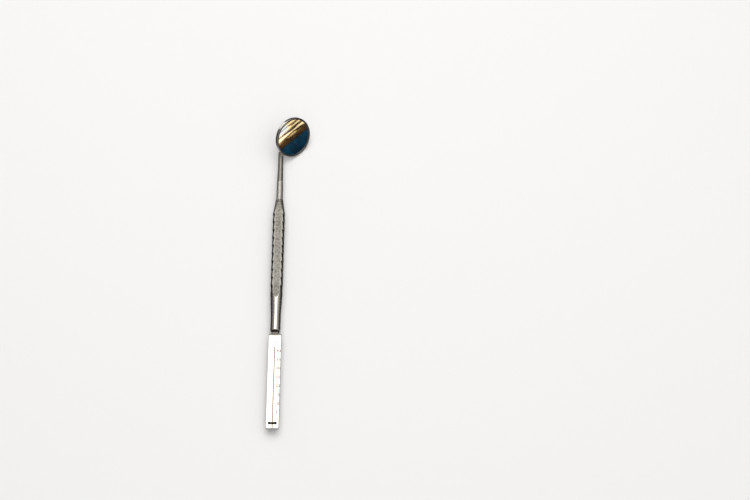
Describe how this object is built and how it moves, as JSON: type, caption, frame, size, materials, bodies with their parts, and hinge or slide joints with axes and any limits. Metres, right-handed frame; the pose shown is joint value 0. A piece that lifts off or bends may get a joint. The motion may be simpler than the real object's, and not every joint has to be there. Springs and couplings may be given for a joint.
{
  "type": "mouth mirror",
  "caption": "Dental mouth mirror: round mirror head on a threaded stem, screwed into a beaded metal grip with flat faces and a small millimetre ruler blade at the other end.",
  "frame": {"origin": "middle of the lower of the two flats milled on the grip, midway along it and across it", "axes": "+Y along the handle from the ruler end to the mirror, +Z square to the flats, from the lower one to the upper one, +X to the right seen from above with the mirror away from the viewer"},
  "size_m": [0.0196, 0.1826, 0.0204],
  "materials": {
    "handle_steel": "bead-blasted satin stainless steel",
    "blade_steel": "bright satin with etched scale",
    "stop_steel": "blackened",
    "braze_metal": "dark silver braze, satin",
    "stem_steel": "polished stainless steel",
    "cup_steel": "polished stainless steel",
    "mirror_coat": "front-surface metallic coating on glass",
    "pad_sheet": "matt",
    "seal_resin": "dark resin"
  },
  "bodies": {
    "handle": {"handle_bar": "handle_steel", "ruler_blade": "blade_steel", "tang_braze": "braze_metal", "zero_stop": "stop_steel"},
    "mirror_head": {"mirror_stem": "stem_steel", "stem_weld": "stem_steel", "mirror_cup": "cup_steel", "backing_pad": "pad_sheet", "mirror_glass": "mirror_coat", "edge_seal": "seal_resin"}
  },
  "joints": [
    {"name": "mirror_turn", "type": "hinge", "parent": "handle", "child": "mirror_head", "pos_m": [0, 0.0402, 0.00234], "axis": [0, 1, 0], "range_deg": [0, 3150]}
  ]
}
